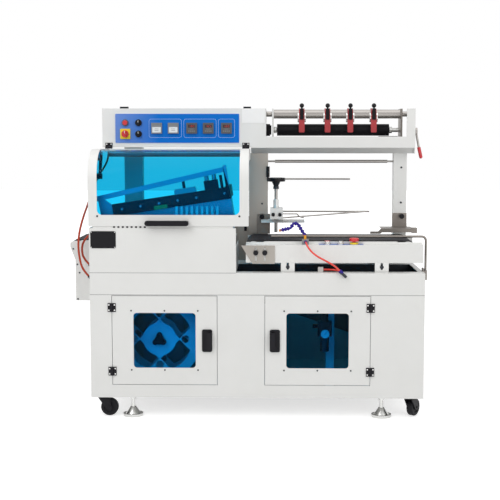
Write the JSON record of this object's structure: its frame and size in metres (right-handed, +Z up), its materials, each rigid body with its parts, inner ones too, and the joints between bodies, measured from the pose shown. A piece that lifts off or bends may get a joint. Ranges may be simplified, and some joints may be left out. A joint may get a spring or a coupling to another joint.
{
  "type": "l bar sealer",
  "caption": "Free-standing L-bar sealing machine with belt infeed, hinged blue hood over an L-jaw, film tray, control panel, windowed cabinet doors, levelling feet and casters.",
  "frame": {"origin": "centre of the footprint on the floor, under the middle of the bounding box", "axes": "+X to the machine's right, -Y to the operator at the front, +Z up"},
  "size_m": [1.551, 0.856, 1.3515],
  "materials": {
    "white_coat": "satin powder coat",
    "blue_panel": "printed panel film",
    "blue_acrylic": "clear blue acrylic",
    "steel": "brushed",
    "aluminium": "milled",
    "chrome": "plated",
    "black_plastic": "moulded",
    "meter_plastic": "moulded",
    "red_plastic": "moulded",
    "red_paint": "painted",
    "green_plastic": "moulded",
    "black_rubber": "matt",
    "tyre_rubber": "matt",
    "hose": "extruded polyurethane",
    "nozzle_plastic": "moulded",
    "reel_plastic": "machined"
  },
  "bodies": {
    "machine": {"air_nozzle": "nozzle_plastic", "air_regulator": "aluminium", "apron_panel": "white_coat", "blow_hose": "hose", "cabinet_carcass": "white_coat", "clamp_knobs": "black_plastic", "control_box": "white_coat", "control_panel": "blue_panel", "feed_hose": "hose", "film_bars": "steel", "film_brackets": "steel", "film_tray": "white_coat", "frame_columns": "steel", "front_frame": "white_coat", "guide_rail": "steel", "hinge_leaves": "black_plastic", "hose_valve": "chrome", "infeed_belt": "black_rubber", "infeed_brackets": "aluminium", "infeed_frame": "white_coat", "levelling_feet": "chrome", "lower_jaw": "steel", "outfeed_belt": "black_rubber", "outfeed_housing": "white_coat", "panel_fittings": "meter_plastic", "rear_caster_forks": "chrome", "side_hose_inner": "hose", "side_hose_outer": "hose"},
    "hood": {"hood_frame": "white_coat", "hood_window": "blue_acrylic", "hood_handle": "black_plastic"},
    "jaw": {"jaw_frame": "aluminium"},
    "left_door": {"door_left": "white_coat", "door_left_window": "blue_acrylic", "door_left_fittings": "black_plastic"},
    "right_door": {"door_right": "white_coat", "door_right_window": "blue_acrylic", "door_right_fittings": "black_plastic"},
    "handwheel": {"handwheel": "steel"},
    "carriage": {"forming_carriage": "steel"},
    "perforator_1": {"perforator_1": "red_paint"},
    "perforator_2": {"perforator_2": "red_paint"},
    "perforator_3": {"perforator_3": "red_paint"},
    "perforator_4": {"perforator_4": "red_paint"},
    "film_roller": {"film_roller": "black_rubber"},
    "lever": {"lift_lever": "steel"},
    "reel": {"scrap_reel": "reel_plastic"},
    "power_button": {"power_button": "red_plastic"},
    "main_switch": {"main_switch": "red_plastic"},
    "selector_1": {"selector_1": "black_plastic"},
    "selector_2": {"selector_2": "black_plastic"},
    "run_button_1": {"run_button_1": "green_plastic"},
    "run_button_2": {"run_button_2": "black_plastic"},
    "estop_button": {"estop_button": "red_plastic"},
    "left_fork": {"front_fork_left": "chrome"},
    "left_wheel": {"front_wheel_left": "tyre_rubber"},
    "right_fork": {"front_fork_right": "chrome"},
    "right_wheel": {"front_wheel_right": "tyre_rubber"},
    "rear_wheels": {"rear_wheels": "tyre_rubber"},
    "infeed_roller": {"infeed_roller": "aluminium"}
  },
  "joints": [
    {"name": "hood_hinge", "type": "hinge", "parent": "machine", "child": "hood", "pos_m": [-0.344, 0.001, 1.153], "axis": [-1, 0, 0], "range_deg": [0, 70]},
    {"name": "jaw_pivot", "type": "hinge", "parent": "machine", "child": "jaw", "pos_m": [-0.613, -0.312, 0.8], "axis": [0, 1, 0], "range_deg": [0, 8.7]},
    {"name": "left_door_hinge", "type": "hinge", "parent": "machine", "child": "left_door", "pos_m": [-0.5855, -0.397, 0.3415], "axis": [0, 0, -1], "range_deg": [0, 110]},
    {"name": "right_door_hinge", "type": "hinge", "parent": "machine", "child": "right_door", "pos_m": [0.5055, -0.397, 0.3415], "axis": [0, 0, 1], "range_deg": [0, 110]},
    {"name": "handwheel_turn", "type": "hinge", "parent": "machine", "child": "handwheel", "pos_m": [0.108, 0.033, 1.008], "axis": [0, 0, 1], "range_deg": [-540, 3960]},
    {"name": "carriage_slide", "type": "slide", "parent": "machine", "child": "carriage", "axis": [0, 0, 1], "range_m": [-0.0061, 0.0441]},
    {"name": "film_roller_spin", "type": "hinge", "parent": "machine", "child": "film_roller", "pos_m": [0.371, 0.158, 1.231], "axis": [1, 0, 0], "continuous": true},
    {"name": "lever_swing", "type": "hinge", "parent": "machine", "child": "lever", "pos_m": [0.737, 0.068, 1.224], "axis": [-1, 0, 0], "range_deg": [0, 100]},
    {"name": "reel_spin", "type": "hinge", "parent": "machine", "child": "reel", "pos_m": [-0.396, -0.192, 0.326], "axis": [0, 1, 0], "continuous": true},
    {"name": "power_press", "type": "slide", "parent": "machine", "child": "power_button", "axis": [0, 1, 0], "range_m": [0, 0.004], "stiffness_N_per_m": 600},
    {"name": "main_switch_turn", "type": "hinge", "parent": "machine", "child": "main_switch", "pos_m": [-0.573, -0.002, 1.212], "axis": [0, 1, 0], "range_deg": [0, 90]},
    {"name": "selector_1_turn", "type": "hinge", "parent": "machine", "child": "selector_1", "pos_m": [-0.513, -0.002, 1.262], "axis": [0, 1, 0], "range_deg": [-45, 45]},
    {"name": "selector_2_turn", "type": "hinge", "parent": "machine", "child": "selector_2", "pos_m": [-0.513, -0.002, 1.212], "axis": [0, 1, 0], "range_deg": [-45, 45]},
    {"name": "run_1_press", "type": "slide", "parent": "machine", "child": "run_button_1", "axis": [0, 0, -1], "range_m": [0, 0.0035], "stiffness_N_per_m": 600},
    {"name": "run_2_press", "type": "slide", "parent": "machine", "child": "run_button_2", "axis": [0, 0, -1], "range_m": [0, 0.0035], "stiffness_N_per_m": 600},
    {"name": "estop_press", "type": "slide", "parent": "machine", "child": "estop_button", "axis": [0, 0, -1], "range_m": [0, 0.005], "stiffness_N_per_m": 600},
    {"name": "left_swivel", "type": "hinge", "parent": "machine", "child": "left_fork", "pos_m": [-0.633, -0.322, 0.09], "axis": [0, 0, 1], "continuous": true},
    {"name": "left_wheel_spin", "type": "hinge", "parent": "left_fork", "child": "left_wheel", "pos_m": [-0.609, -0.322, 0.039], "axis": [0, 1, 0], "continuous": true},
    {"name": "right_swivel", "type": "hinge", "parent": "machine", "child": "right_fork", "pos_m": [0.687, -0.322, 0.09], "axis": [0, 0, 1], "continuous": true},
    {"name": "right_wheel_spin", "type": "hinge", "parent": "right_fork", "child": "right_wheel", "pos_m": [0.70077, -0.30234, 0.039], "axis": [-0.8192, 0.5736, 0], "continuous": true},
    {"name": "rear_wheel_spin", "type": "hinge", "parent": "machine", "child": "rear_wheels", "pos_m": [0.027, 0.382, 0.039], "axis": [1, 0, 0], "continuous": true},
    {"name": "infeed_roller_spin", "type": "hinge", "parent": "machine", "child": "infeed_roller", "pos_m": [0.012, -0.157, 0.725], "axis": [0, 1, 0], "continuous": true},
    {"name": "perforator_1_lift", "type": "hinge", "parent": "machine", "child": "perforator_1", "pos_m": [0.225, 0.128, 1.303], "axis": [-1, 0, 0], "range_deg": [0, 70]},
    {"name": "perforator_2_lift", "type": "hinge", "parent": "machine", "child": "perforator_2", "pos_m": [0.343, 0.128, 1.303], "axis": [-1, 0, 0], "range_deg": [0, 70]},
    {"name": "perforator_3_lift", "type": "hinge", "parent": "machine", "child": "perforator_3", "pos_m": [0.447, 0.128, 1.303], "axis": [-1, 0, 0], "range_deg": [0, 70]},
    {"name": "perforator_4_lift", "type": "hinge", "parent": "machine", "child": "perforator_4", "pos_m": [0.554, 0.128, 1.303], "axis": [-1, 0, 0], "range_deg": [0, 70]}
  ],
  "couplings": [
    {"joint": "carriage_slide", "follows": "handwheel_turn", "m_per_rad": 0.00063662}
  ]
}
